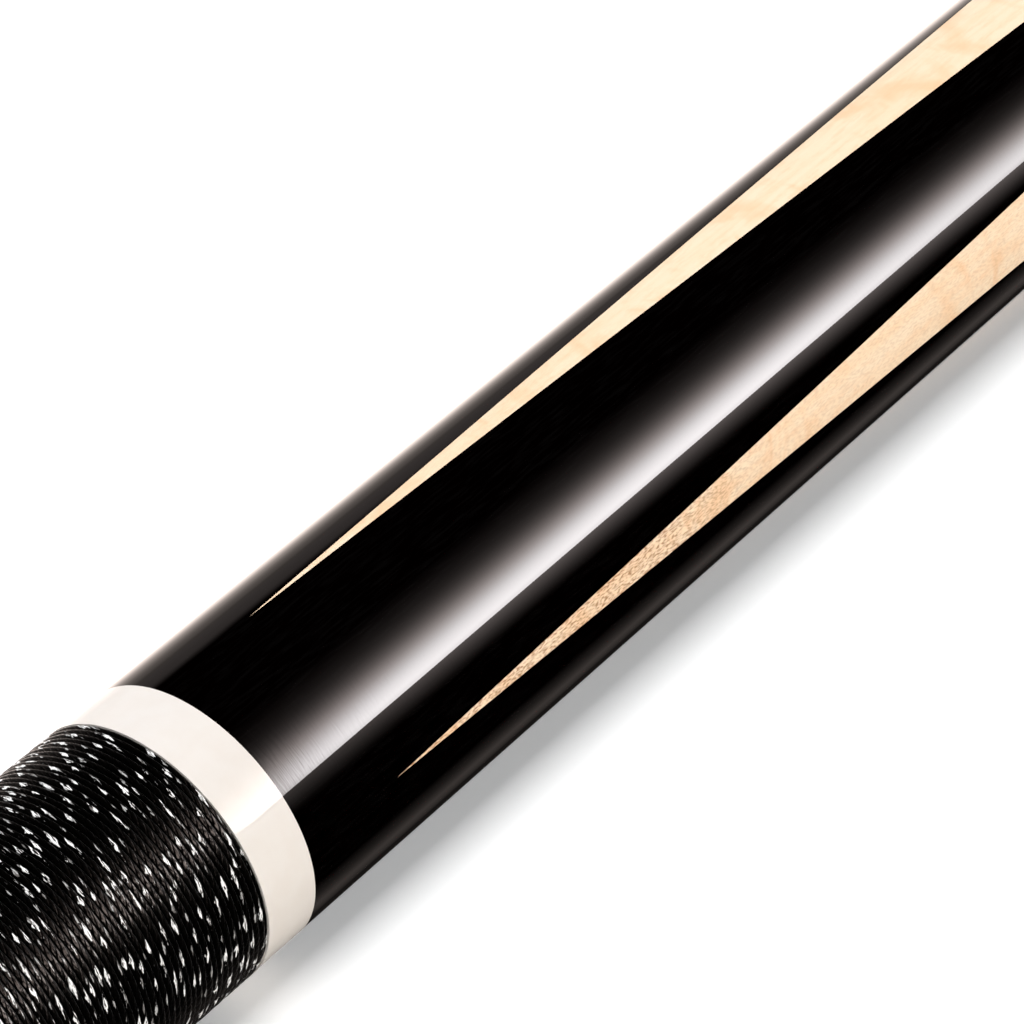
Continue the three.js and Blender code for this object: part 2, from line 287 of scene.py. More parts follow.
def outside(place_in):
    """How far a place lies from the corner where all its numbers are 0 or less."""
    return vector("LENGTH", vector("MAXIMUM", place_in, (0.0, 0.0, 0.0)))


def split(place_in):
    """The X, Y and Z of a place."""
    return add(place_in.id_data, "ShaderNodeSeparateXYZ", {0: place_in}).outputs


def in_mm(tree, stretch=(1, 1, 1)):
    """The piece's own coordinates in millimetres, divided by a pattern's size along x, y and z."""
    scale = [1 / (MM * size) for size in stretch]
    return vector("MULTIPLY", add(tree, "ShaderNodeTexCoord").outputs["Object"], scale)


def noise(tree, place_in, detail, roughness, warp):
    return add(tree, "ShaderNodeTexNoise", {
        "Vector": place_in, "Scale": 1.0, "Detail": detail, "Roughness": roughness,
        "Distortion": warp,
    }).outputs["Fac"]


def speckle(tree, size, detail=2.0, roughness=0.5, warp=0.0):
    """A noise pattern with features of about this size in mm along x, y and z, from 0 to 1."""
    return noise(tree, in_mm(tree, size), detail, roughness, warp)


def between(value, low, high, to_low=0.0, to_high=1.0, smooth=True):
    """The value stretched so that low gives to_low and high gives to_high."""
    return add(
        value.id_data, "ShaderNodeMapRange",
        {"Value": value, "From Min": low, "From Max": high, "To Min": to_low, "To Max": to_high},
        interpolation_type="SMOOTHSTEP" if smooth else "LINEAR",
    ).outputs["Result"]


def blend(share, first, second):
    """Two colours mixed."""
    return add(
        share.id_data, "ShaderNodeMix", {0: share, 6: first, 7: second}, data_type="RGBA"
    ).outputs[2]


def relief(shader, height, depth, sockets=("Normal",)):
    """Raises the surface by height times depth in mm."""
    inputs = {"Height": height, "Distance": depth * MM, "Strength": 1.0}
    bump = add(shader.id_data, "ShaderNodeBump", inputs).outputs["Normal"]
    for socket in sockets:
        feed(shader, socket, bump)


def mottled(name, sockets, patches, colours, roughness, grain, depth,
            limits=(0.3, 0.7), lifted=("Normal",)):
    """A finish whose colour and roughness drift between two values in soft patches. patches and
    grain give a noise's size and detail. The grain, or else the patches, are raised by depth."""
    made, tree, shader = finish(name, sockets)
    patch = speckle(tree, *patches)
    feed(shader, "Base Color", blend(between(patch, *limits), *map(tint, colours)))
    feed(shader, "Roughness", between(patch, *limits, *roughness))
    relief(shader, speckle(tree, *grain) if grain else patch, depth, lifted)
    return made


# A clear polyurethane coat is all that shines on the lacquered pieces.
CLEAR_COAT = {"Specular IOR Level": 0.0, "Coat Weight": 1.0, "Coat IOR": 1.5}
THROUGH_COAT = ("Normal", "Coat Normal")

# Black stained wood under polished polyurethane: the eye gets a deep black with nothing in it but
# mirror-like reflections, and inside those the faint rings of the last sanding in the lathe.
black_lacquer, tree, shader = finish("black_lacquered_wood", {
    **CLEAR_COAT, "Base Color": tint("#020101"), "Roughness": 0.4, "Coat Roughness": 0.02,
})
pores = between(speckle(tree, (3.0, 0.25, 0.25)), 0.45, 0.75)
feed(shader, "Base Color", blend(pores, tint("#010000"), tint("#050404")))
feed(shader, "Roughness", between(pores, 0, 1, 0.35, 0.5))
sanding = speckle(tree, (0.14, 2.0, 2.0))
swirl = speckle(tree, (9.0, 0.5, 0.5), detail=1.0)
relief(shader, plus(times(sanding, 0.7), times(swirl, 0.3)), 0.0016, THROUGH_COAT)

# Cast white resin, turned and polished under the same clear coat: the eye gets a warm, even white
# with a wet-looking highlight and only the faintest clouding.
white_resin = mottled(
    "white_cast_resin",
    {**CLEAR_COAT, "Base Color": tint("#ece6e1"), "Roughness": 0.35, "Coat Roughness": 0.025},
    patches=((2.2, 2.2, 2.2), 4.0), colours=("#ede7e2", "#ebe4de"), roughness=(0.3, 0.42),
    grain=((0.12, 14.0, 14.0), 3.0), depth=0.0001, lifted=THROUGH_COAT,
)

# Maple's flecks crowd where it is more than FLAT_SAWN from the middle plane, in stretches of
# which one ends at STRETCH_END.
FLAT_SAWN = (6.0, 11.0)
STRETCH_END, STRETCH = 495.0, 22.0


def maple(name, sockets, colours, contrast, pore_depth, roughness):
    """Hard maple: pale wood with long soft growth lines, broad cloudy figure across them and short
    brown ray flecks along the grain. The flecks crowd on the two sides where the growth rings lie
    flat to the surface, in stretches that come and go along the wood, and the rest is smooth and
    cloudy."""
    made, tree, shader = finish(name, sockets)
    pale, mid, streak, fleck = map(tint, colours)
    lines = speckle(tree, (22.0, 0.9, 0.9), detail=3.0, warp=0.4)
    figure = speckle(tree, (5.5, 9.0, 9.0), warp=1.2)
    silk = speckle(tree, (2.4, 0.8, 0.8), detail=3.0, roughness=0.6)
    dashes = speckle(tree, (0.42, 0.075, 0.075), detail=0.0)
    wood = blend(between(lines, 0.35, 0.68), pale, mid)
    wood = blend(between(figure, 0.5, 0.74, 0, 0.75 * contrast), wood, streak)
    wood = blend(between(silk, 0.45, 0.75, 0, 0.45 * contrast), wood, streak)
    spot = split(in_mm(tree))
    crowd = between(size_of(spot["Y"]), *FLAT_SAWN, 0.1, 1)
    swell = sine(over(minus(STRETCH_END, spot["X"]), STRETCH))
    crowd = times(crowd, between(swell, -0.45, 0.45, 0.24, 1))
    marks = times(between(dashes, 0.49, 0.61), crowd)
    feed(shader, "Base Color", blend(times(marks, contrast), wood, fleck))
    feed(shader, "Roughness", between(marks, 0, 1, *roughness))
    relief(shader, minus(1.0, marks), pore_depth)
    return made


# Hard maple under clear polyurethane: a creamy wood whose short brown flecks stand out sharp in the
# coat, which carries the same unbroken highlight as the black beside it.
coated_maple = maple(
    "clear_coated_maple", {**CLEAR_COAT, "Roughness": 0.45, "Coat Roughness": 0.02},
    ("#ffe7ca", "#ffe1c0", "#f9cb9f", "#b2805a"), 0.88, 0.002, (0.42, 0.6),
)

# The same wood sealed and burnished by hand on the shaft: straight quiet grain with a satin sheen.
satin_maple = maple(
    "burnished_maple", {"Roughness": 0.35, "Coat Weight": 0.35, "Coat Roughness": 0.22},
    ("#f8e0b8", "#f1d3a4", "#e0b884", "#c4935e"), 0.5, 0.004, (0.32, 0.5),
)

# Bare maple of the handle's core: dry, matt and a little yellow.
bare_maple = maple(
    "bare_turned_maple", {"Roughness": 0.6},
    ("#e9cf9f", "#dfc08b", "#cda46b", "#a87b48"), 0.7, 0.01, (0.55, 0.7),
)

# Linen thread

# Waxed black linen thread with one white ply that comes to the top every few millimetres: rows of
# near-black twisted thread with a soft sheen, sprinkled with slim white flecks.
PLY_SPACING = 1.15
PLY_LEAN = 0.34
PLY_WANDER = ((0.8, 7.3, 0.0), (0.55, 2.9, 1.3))
THREAD_PITCH = 0.65
STRAND_LENGTH = 0.8
STRAND_WIDTH = 0.15
FLECK_LEAN = 0.4 * PLY_LEAN / THREAD_PITCH
FLECK_SHIFT = 0.12
FLECK_EDGE = 0.04
FLECK_ROW = 1.7
PRESSED_WAX = 0.022

linen, tree, shader = finish("waxed_linen_thread", {
    "Roughness": 0.2, "Specular IOR Level": 0.28, "Sheen Weight": 0.025, "Sheen Roughness": 0.4,
})
thread_place = split(add(tree, "ShaderNodeUVMap", uv_map="thread").outputs[0])
along = times(thread_place["X"], 1 / MM)
off_middle = minus(thread_place["Y"], 0.5)


def white_ply(spacing, half_lengths, half_widths, start):
    """Where the white ply shows: one slim fleck in each stretch of the thread, of chance size and
    place, that leans with the twist and is split by its own fibres. half_widths are shares of the
    thread's width. Returns the fleck and its fibres."""
    cell = plus(over(along, spacing), start)
    stretch = sums("FLOOR", cell)
    chance = add(tree, "ShaderNodeTexWhiteNoise", {"W": stretch}, noise_dimensions="1D")
    chances = add(tree, "ShaderNodeSeparateColor", {0: chance.outputs["Color"]}).outputs

    def picked(value, low, high):
        return between(value, 0, 1, low, high, smooth=False)

    margin = half_lengths[1] / spacing
    past = times(minus(past_whole(cell), picked(chances[0], margin, 1 - margin)), spacing)
    reached = size_of(over(past, picked(chances[1], *half_lengths)))
    line = minus(picked(chances[2], -FLECK_SHIFT, FLECK_SHIFT), times(past, FLECK_LEAN))
    beside = minus(off_middle, line)
    strand_place = add(tree, "ShaderNodeCombineXYZ", {
        "X": over(past, STRAND_LENGTH),
        "Y": times(beside, THREAD_PITCH / STRAND_WIDTH),
        "Z": times(stretch, FLECK_ROW),
    }).outputs[0]
    strands = noise(tree, strand_place, 2.0, 0.6, 0.3)
    slim = minus(1.0, power(reached, 0.9), clamp=True)
    room = times(slim, picked(chance.outputs["Value"], *half_widths))
    ragged = plus(room, between(strands, 0.3, 0.7, -0.13, 0.05, smooth=False))
    fleck = between(minus(ragged, size_of(beside)), 0.0, FLECK_EDGE)
    return times(fleck, between(strands, 0.44, 0.49)), strands


fleck, strands = white_ply(
    spacing=7.0, half_lengths=(0.6, 1.25), half_widths=(0.28, 0.48), start=0.0
)
wisp, _ = white_ply(spacing=6.1, half_lengths=(0.4, 1.0), half_widths=(0.14, 0.27), start=0.37)
flecks = larger(fleck, times(wisp, 0.5))
phase = over(along, PLY_SPACING)
for size, length, start in PLY_WANDER:
    phase = plus(phase, times(sine(plus(over(along, length), start)), size))
phase = plus(phase, times(off_middle, THREAD_PITCH / PLY_LEAN / PLY_SPACING))
ply_round = between(sine(times(past_whole(phase), math.pi)), 0.12, 0.7)
fibres = speckle(tree, (0.085, 0.34, 0.34), roughness=0.65)
pressed = speckle(tree, (1.0, 2.6, 2.6))
groove = between(size_of(off_middle), 0.31, 0.46)
dye = blend(between(fibres, 0.4, 0.75), tint("#000000"), tint("#050403"))
white_fibre = blend(between(strands, 0.42, 0.54), tint("#9b9795"), tint("#ffffff"))
thread_colour = blend(flecks, dye, white_fibre)
# Painted shade: the base colour goes black in the groove between the turns of the thread.
feed(shader, "Base Color", blend(groove, thread_colour, tint("#000000")))
# Painted shade: in the groove and the crevices between plies the specular tint is black.
dull = larger(groove, minus(1.0, ply_round))
rubbed = times(between(fibres, 0.4, 0.58, 0.05, 1.25), between(pressed, 0.3, 0.6, 0.45, 1))
# gloss is the rubbed sheen with that painted shade of the grooves and crevices taken out.
gloss = times(rubbed, minus(1.0, dull))
feed(shader, "Specular Tint", blend(gloss, tint("#000000"), (1.0, 0.9, 0.82, 1.0)))
feed(shader, "Roughness", between(gloss, 0, 1, 0.3, 0.12))
raised = plus(plus(ply_round, times(fibres, 0.5)), times(pressed, 2.0))
relief(shader, raised, PRESSED_WAX)

# Small parts' finishes

# Moulded rubber: dull black with a fine dusty grain.
rubber = mottled(
    "moulded_rubber", {"Roughness": 0.75}, patches=((0.25, 0.25, 0.25), 4.0),
    colours=("#121212", "#1d1c1b"), roughness=(0.66, 0.84), grain=None, depth=0.02,
)

# Moulded nylon: milky and slightly waxy.
nylon = mottled(
    "moulded_nylon", {"Roughness": 0.45}, patches=((1.2, 1.2, 1.2), 3.0),
    colours=("#e4e0d5", "#d6d1c3"), roughness=(0.4, 0.52), grain=((0.2, 0.2, 0.2),), depth=0.004,
)

# Capped white plastic of the ferrule: a clean cool white with a satin surface.
ferrule_plastic = mottled(
    "satin_ferrule_plastic", {"Roughness": 0.32}, patches=((3.0, 1.2, 1.2), 3.0),
    colours=("#f0ede4", "#edeae0"), roughness=(0.27, 0.38), grain=((0.1, 20.0, 20.0),),
    depth=0.0012,
)

# Pressed vulcanised fibre: dark red layers of paper that show as fine rings on the edge.
fibre = mottled(
    "pressed_red_fibre", {"Roughness": 0.6}, patches=((0.12, 20.0, 20.0), 2.0),
    colours=("#8c2f24", "#5f1c16"), roughness=(0.5, 0.68), grain=None, depth=0.01,
    limits=(0.35, 0.65),
)


def turned_metal(name, bright, dull):
    """Metal from a lathe: bright, with fine tool rings that break its reflections into lines."""
    made, tree, shader = finish(name, {"Metallic": 1.0, "Roughness": 0.28})
    rings = speckle(tree, (0.07, 30.0, 30.0))
    stains = speckle(tree, (1.8, 1.8, 1.8), detail=3.0)
    feed(shader, "Base Color", blend(between(stains, 0.35, 0.75), tint(bright), tint(dull)))
    feed(shader, "Roughness", between(rings, 0.3, 0.7, 0.2, 0.36))
    relief(shader, rings, 0.003)
    return made


# Turned free-cutting brass: yellow, with a few browner patches from handling.
brass = turned_metal("turned_brass", "#d8b468", "#b98f48")
# Turned stainless steel: neutral grey.
steel = turned_metal("turned_steel", "#c6c8ca", "#a4a6a9")

# Pressed layered pigskin: warm brown, glued in thin layers that show as darker rings on the side,
# with a pored and slightly roughened crown.
LEATHER_LAYER = 0.46
leather, tree, shader = finish("pressed_layered_leather", {"Roughness": 0.72})
sheet = past_whole(split(in_mm(tree, (LEATHER_LAYER, 1, 1)))["X"])
seam = between(size_of(minus(sheet, 0.5)), 0.42, 0.49)
hide = speckle(tree, (0.35, 0.6, 0.6), detail=4.0, roughness=0.6)
pits = between(speckle(tree, (0.16, 0.16, 0.16), detail=1.0), 0.6, 0.72)
skin = blend(between(hide, 0.3, 0.7), tint("#a37a4d"), tint("#7c5632"))
skin = blend(times(seam, 0.7), skin, tint("#4a3018"))
feed(shader, "Base Color", blend(times(pits, 0.6), skin, tint("#523619")))
feed(shader, "Roughness", between(hide, 0.3, 0.7, 0.62, 0.82))
relief(shader, minus(times(hide, 0.6), pits), 0.03)

# Bumper, its stud and its insert

STUD_RADIUS = 6.1
STUD_HEAD_RADIUS = 9.0
STUD_HEAD = (2.2, 4.7)
FACE_RADIUS = 13.9
FACE_EDGE = 2.5
FACE_GROOVE = (7.4, 7.7, 8.5, 8.8)
FACE_GROOVE_DEPTH = 0.5
MOULD_LINE = ((5.4, 14.2, 0.1), (5.6, 14.42, 0.06), (5.8, 14.24, 0.1))
SEAT_RADIUS = 14.8
SEAT_BEAD = ((1.6, 14.55, 0.3), (1.2, SEAT_RADIUS * INSIDE_FACETS, 0.3))
start, end = ends("bumper")
bore = STUD_RADIUS + RUNNING_GAP
head_room = STUD_HEAD_RADIUS + RUNNING_GAP
head_start, head_end = STUD_HEAD[0] - RUNNING_GAP, STUD_HEAD[1] + RUNNING_GAP
groove_floor = start + FACE_GROOVE_DEPTH
place(turned("rubber_bumper", [
    (start, 0), (start, FACE_GROOVE[0], 0.25), (groove_floor, FACE_GROOVE[1], 0.2),
    (groove_floor, FACE_GROOVE[2], 0.2), (start, FACE_GROOVE[3], 0.25),
    (start, FACE_RADIUS * INSIDE_FACETS, FACE_EDGE),
    *((start + x, r, edge) for x, r, edge in MOULD_LINE),
    *((end - x, r, edge) for x, r, edge in SEAT_BEAD),
    (end, SEAT_RADIUS * INSIDE_FACETS, 0.25), (end, bore, 0.3),
    (head_end, bore), (head_end, head_room), (head_start, head_room), (head_start, 0),
]), "bumper", "rubber", rubber, "bumper")

THREAD_STEPS = 14
THREAD_FLANK = 2.5
BUMPER_PITCH = 1.954
JOINT_PITCH = 1.814
STUD_THREAD_DEPTH = 0.75
PIN_THREAD_DEPTH = 0.85
STUD_CHAMFER = 0.7


def screw_cut(first, last, pitch, depth, inward=False):
    """The radius of a 60 degree screw thread between two stations, run out over half a turn."""
    def radius(x, r, angle):
        near = min((x - first) / pitch, (last - x) / pitch) * 2
        if near <= 0:
            return r
        turn = (x / pitch - angle / (2 * math.pi)) % 1
        groove = 1 - min(1.0, abs(turn - 0.5) * THREAD_FLANK)
        return r + (depth if inward else -depth) * groove * min(1.0, near)
    return radius


def threaded_side(first, last, pitch, radius):
    """Outline points close enough together to hold a thread."""
    steps = math.ceil((last - first) / pitch * THREAD_STEPS)
    return [(first + (last - first) * step / steps, radius) for step in range(1, steps)]


def insert(node, body, bore, lead, opening, pitch, depth):
    """A brass insert with a thread of this depth in its bore, which widens by opening over lead."""
    first, last = ends(node)
    outer = reach(node) * INSIDE_FACETS
    place(turned(node + "_threaded", [
        (first, outer), (last, outer), (last, bore),
        *reversed(threaded_side(first + lead, last, pitch, bore)),
        (first + lead, bore), (first, bore + opening),
    ], screw_cut(first + lead + 0.1, last - 0.3, pitch, depth, inward=True)),
        body, "brass", brass, node)


stud_start, stud_end = ends("bumper_stud")
radius = STUD_RADIUS * INSIDE_FACETS
head_radius = STUD_HEAD_RADIUS * INSIDE_FACETS
thread_start, thread_end = end - 1.0, stud_end - STUD_CHAMFER
place(turned("bumper_stud_threaded", [
    (stud_start, 0), (stud_start, head_radius), (STUD_HEAD[1], head_radius),
    (STUD_HEAD[1], radius), (thread_start, radius),
    *threaded_side(thread_start, thread_end, BUMPER_PITCH, radius),
    (thread_end, radius), (stud_end, radius - STUD_CHAMFER), (stud_end, 0),
], screw_cut(end - 0.8, stud_end - 0.2, BUMPER_PITCH, STUD_THREAD_DEPTH)),
    "stud", "nylon", nylon, "bumper_stud")

insert(
    "bumper_insert", "butt", bore=bore + 0.2, lead=0.4, opening=0.3, pitch=BUMPER_PITCH, depth=0.45
)

# Butt cap, rings and butt sleeve

CAP_EDGE = 1.6
SLEEVE_TENON = 10.6
INSERT_SEAT = 11.3
SOCKET_DEPTH = 7.05
insert_radius = reach("bumper_insert") * INSIDE_FACETS
start, end = ends("butt_cap")
place(turned("butt_cap_lacquered", [
    (start, CAP_RADIUS, CAP_EDGE), (end, butt_radius(end)), (end, SLEEVE_TENON + GLUE_LINE),
    (end - SOCKET_DEPTH, SLEEVE_TENON + GLUE_LINE), (end - SOCKET_DEPTH, bore),
    (start + INSERT_SEAT, bore), (start + INSERT_SEAT, insert_radius + GLUE_LINE),
    (start, insert_radius + GLUE_LINE, 0.3),
]), "butt", "black_gloss", black_lacquer, "butt_cap")

HANDLE_TENON = 9.01
JOINT_TENON = 8.26


WHITE_RING = ("_polished", "white_gloss", white_resin)
BLACK_COLLAR = ("_lacquered", "black_gloss", black_lacquer)


def sleeve(node, kind, body, radius, tenon, rear_edge=(), front_edge=()):
    """A ring or collar glued on a tenon. An edge holds the radius that rounds it."""
    start, end = ends(node)
    ending, slot, coat = kind
    place(turned(node + ending, [
        (start, radius(start), *rear_edge), (end, radius(end), *front_edge),
        (end, tenon + GLUE_LINE), (start, tenon + GLUE_LINE),
    ]), body, slot, coat, node)


for node, tenon in (
    ("cap_ring", SLEEVE_TENON), ("rear_ring", HANDLE_TENON), ("front_ring", HANDLE_TENON),
    ("joint_trim_ring", JOINT_TENON),
):
    sleeve(node, WHITE_RING, "butt", butt_radius, tenon)

start, end = ends("butt_sleeve")
shoulder = ends("cap_ring")[1]
HANDLE_TENON_LENGTH = 20.05
WEIGHT_BORE_END = 90.5
place(turned("butt_sleeve_lacquered", [
    (start, SLEEVE_TENON * INSIDE_FACETS), (shoulder, SLEEVE_TENON * INSIDE_FACETS),
    (shoulder, butt_radius(shoulder)), (end, butt_radius(end)), (end, HANDLE_TENON + GLUE_LINE),
    (end - HANDLE_TENON_LENGTH, HANDLE_TENON + GLUE_LINE), (end - HANDLE_TENON_LENGTH, 0),
    (WEIGHT_BORE_END, 0), (WEIGHT_BORE_END, bore), (start, bore),
]), "butt", "black_gloss", black_lacquer, "butt_sleeve")

# Thread wrap
# One thread wound turn against turn. It starts and ends by tapering in between its neighbour and
# the white ring, and is made as three lengths that meet in a groove, the front one the finest.

WRAP_START, WRAP_END = ends("linen_wrap")
TURNS = 469
THREAD_END_WIDTH = 0.03
GROOVE_DEPTH = 0.26
END_ROUNDING = 0.26
WRAP_THICKNESS = 0.6
CROWN = 2.7
THREAD_WAVER = ((0.042, 41.3), (0.036, 17.7))
WAVER_FADE = 2.0

# Where the faces of a winding lie on its sheet for baking, as shares of the sheet.
SHEET_WIDTH, SHEET_HEIGHT = 0.96, 0.98
UNDERSIDE = (0.975, 0.980, 0.985)
REAR_WALL = (0.990, 0.992)
FRONT_WALL = (0.995, 0.997)
CUT_START, CUT_WIDTH, CUT_HEIGHT = 0.3, 0.2, 0.004
CUT_LEVELS = (0.985, 0.993)


def turn_edge(turn):
    """Where the groove behind this turn of the thread lies along the cue."""
    if turn < 1:
        return WRAP_START
    if turn > TURNS + 1:
        return WRAP_END
    pitch = (WRAP_END - WRAP_START - 2 * THREAD_END_WIDTH) / TURNS
    return WRAP_START + THREAD_END_WIDTH + pitch * (turn - 1)


def travelled(turn):
    """How far along the thread the start of a turn lies, in mm."""
    x = WRAP_START + (WRAP_END - WRAP_START) * turn / (TURNS + 1)
    return math.pi * (butt_radius(WRAP_START) + butt_radius(x)) * turn


def waver(turn, x):
    """How far a groove swings from its even spacing, fading out at the wrap's ends."""
    swing = sum(size * math.sin(pace * turn) for size, pace in THREAD_WAVER)
    return swing * min(1.0, min(x - WRAP_START, WRAP_END - x) / WAVER_FADE)


def winding(name, first, last, steps, strips):
    """A length of the wound thread from one whole turn to another, closed underneath. steps is the
    number of points round a turn and strips the number of faces across the thread."""
    count = (last - first) * steps
    edges = [turn_edge(first + k / steps) for k in range(count + 2 * steps + 1)]
    edges = [x + waver(k / steps, x) for k, x in enumerate(edges, first * steps)]
    angles = [2 * math.pi * (k % steps) / steps for k in range(count + steps + 1)]
    travel = [travelled(first + k / steps) for k in range(count + steps + 1)]

    def at(k, x, depth):
        r = butt_radius(x) - depth
        return x * MM, r * math.cos(angles[k]) * MM, r * math.sin(angles[k]) * MM

    def edge_depth(x):
        return END_ROUNDING if x <= WRAP_START or x >= WRAP_END else GROOVE_DEPTH

    points = [at(k, edges[k], edge_depth(edges[k])) for k in range(count + steps + 1)]
    inner_columns = len(points)
    full = (WRAP_END - WRAP_START) / TURNS
    for k in range(count + 1):
        rear, front = edges[k], edges[k + steps]
        sink = GROOVE_DEPTH * max(0.0, 1 - (front - rear) / full)
        for j in range(1, strips):
            f = 2 * j / strips - 1
            depth = sink + edge_depth(rear if f < 0 else front) * abs(f) ** CROWN
            points.append(at(k, rear + (front - rear) * (f + 1) / 2, depth))

    def point(k, j):
        if j == 0:
            return k
        return k + steps if j == strips else inner_columns + k * (strips - 1) + j - 1

    under_rear = len(points)
    points += [at(k, edges[k], WRAP_THICKNESS) for k in range(steps + 1)]
    under_front = len(points)
    points += [at(count + k, edges[count + k], WRAP_THICKNESS) for k in range(steps + 1)]

    travel = [MM * way for way in travel]
    span = edges[-1] - edges[0]
    faces, thread_places, sheet_places = [], [], []

    def add_face(corners, k, sheet_at, thread=None):
        faces.append(corners)
        thread_places.extend(thread or [(travel[k], 0.0)] * len(corners))
        sheet_places.extend(sheet_at)

    def rows_on_sheet(k):
        return k % steps / steps * SHEET_HEIGHT, (k % steps + 1) / steps * SHEET_HEIGHT

    def on_sheet(k, share):
        x = edges[k] + (edges[k + steps] - edges[k]) * share
        return (x - edges[0]) / span * SHEET_WIDTH

    across = [j / strips for j in range(strips + 1)]
    for k in range(count):
        low, high = rows_on_sheet(k)
        for j in range(strips):
            here, next_one = across[j], across[j + 1]
            add_face(
                [point(k, j), point(k + 1, j), point(k + 1, j + 1), point(k, j + 1)], k,
                [(on_sheet(k, here), low), (on_sheet(k + 1, here), high),
                 (on_sheet(k + 1, next_one), high), (on_sheet(k, next_one), low)],
                [(travel[k], here), (travel[k + 1], here),
                 (travel[k + 1], next_one), (travel[k], next_one)],
            )
    for k in range(steps):
        low, high = rows_on_sheet(k)
        outer, inner = REAR_WALL
        add_face(
            [k + 1, k, under_rear + k, under_rear + k + 1], k,
            [(outer, high), (outer, low), (inner, low), (inner, high)],
        )
        outer, inner = FRONT_WALL
        add_face(
            [count + k, count + k + 1, under_front + k + 1, under_front + k], k,
            [(outer, low), (outer, high), (inner, high), (inner, low)],
        )
        under = [under_rear + k + 1, under_rear + k, under_front + k, under_front + k + 1]
        rear, halfway, front = UNDERSIDE
        spots = [(rear, high), (rear, low), (front, low), (front, high)]
        if k == 0:
            under.insert(2, under_rear + steps)
            spots.insert(2, (halfway, low))
        if k == steps - 1:
            under.append(under_front)
            spots.append((halfway, high))
        add_face(under, k, spots)
    for k, below, level, turn in zip((0, count), (under_rear, under_front), CUT_LEVELS, (1, -1)):
        cut = [point(k, j) for j in range(strips + 1)] + [below + steps, below]
        spots = [(CUT_START + CUT_WIDTH * a, level + CUT_HEIGHT) for a in across]
        spots += [(CUT_START + CUT_WIDTH, level), (CUT_START, level)]
        add_face(cut[::turn], k, spots[::turn])

    mesh = bpy.data.meshes.new(name)
    mesh.from_pydata(points, [], faces)
    for map_name, places in (("thread", thread_places), ("OFBake", sheet_places)):
        layer = mesh.uv_layers.new(name=map_name)
        layer.uv.foreach_set("vector", np.array(places, np.float32).ravel())
    mesh.shade_smooth()
    mesh.set_sharp_from_angle(angle=SHARP_EDGE)
    return shown(name, mesh)


FINE_FROM = TURNS + 1 - 134
FINEST_FROM = TURNS + 1 - 42
for name, first, last, steps, strips in (
    ("thread_wrap_rear", 0, FINE_FROM, 48, 5),
    ("thread_wrap_middle", FINE_FROM, FINEST_FROM, 144, 7),
    ("thread_wrap_front", FINEST_FROM, TURNS + 1, 288, 8),
):
    place(winding(name, first, last, steps, strips), "butt", "linen", linen, "linen_wrap")

# Spliced forearm
# Four black prongs are let into the maple. Each has a square inner corner that leaves the axis at
# the valleys' tips and rises in a straight line to the surface at the prong's point.

PRONG_TURN = math.radians(28.5)
VALLEYS_START = 452.6
POINTS_END = 681.2
SPLICE_STEPS = 90
SPLICE_STRIPS = 48
ALL_STRIPS = 4 * SPLICE_STRIPS
QUARTER = math.pi / 2
SCREW_BORE = 4.81
PIN_SOCKET = 45.05
BASE_SOCKET = 9.05
BUTT_SLOPE = (CAP_RADIUS - JOINT_RADIUS) / BUTT_LENGTH

forearm_start = ends("forearm_prongs")[0]
forearm_end = ends("joint_trim_ring")[0]
corner_slope = butt_radius(POINTS_END) / (POINTS_END - VALLEYS_START)
splice_stations = [
    VALLEYS_START + (POINTS_END - VALLEYS_START) * step / SPLICE_STEPS
    for step in range(SPLICE_STEPS + 1)
]


def valley_half_angle(x):
    """Half the angle that the maple between two prongs takes up on the surface."""
    if x >= POINTS_END:
        return math.pi / 4
    return math.asin(corner_slope * (x - VALLEYS_START) / (math.sqrt(2) * butt_radius(x)))


def outward(angle):
    """The normal of the butt's tapered surface."""
    lean = math.hypot(1, BUTT_SLOPE)
    return BUTT_SLOPE / lean, math.cos(angle) / lean, math.sin(angle) / lean


def on_butt(angles, x):
    return around(angles, x, butt_radius(x))


def fan(middle, half):
    """Angles spread evenly on both sides of a middle one."""
    return [middle + half * (2 * j / SPLICE_STRIPS - 1) for j in range(SPLICE_STRIPS + 1)]


prongs, fins = Shell(), Shell()
axis_point = (VALLEYS_START, 0.0, 0.0)
ring_angles = [PRONG_TURN - math.pi / 4 + QUARTER * j / SPLICE_STRIPS for j in range(ALL_STRIPS)]
rear_row = prongs.ring(on_butt(ring_angles, forearm_start))
tips_row = prongs.ring(on_butt(ring_angles, VALLEYS_START))
closed_angles = ring_angles + ring_angles[:1]
leaning = [outward(a) for a in closed_angles]
prongs.band(rear_row, tips_row, leaning, leaning)
mouth = prongs.ring(around(ring_angles, forearm_start, BASE_SOCKET))
socket_floor = ends("handle_core")[1] + GLUE_LINE
floor_edge = prongs.ring(around(ring_angles, socket_floor, BASE_SOCKET))
floor_middle = prongs.row([(socket_floor, 0.0, 0.0)])
backward = [(-1.0, 0.0, 0.0)] * len(closed_angles)
inward = [(0.0, -math.cos(a), -math.sin(a)) for a in closed_angles]
prongs.band(mouth, rear_row, backward, backward)
prongs.band(floor_edge, mouth, inward, inward)
prongs.band(floor_middle * len(closed_angles), floor_edge, backward, backward)

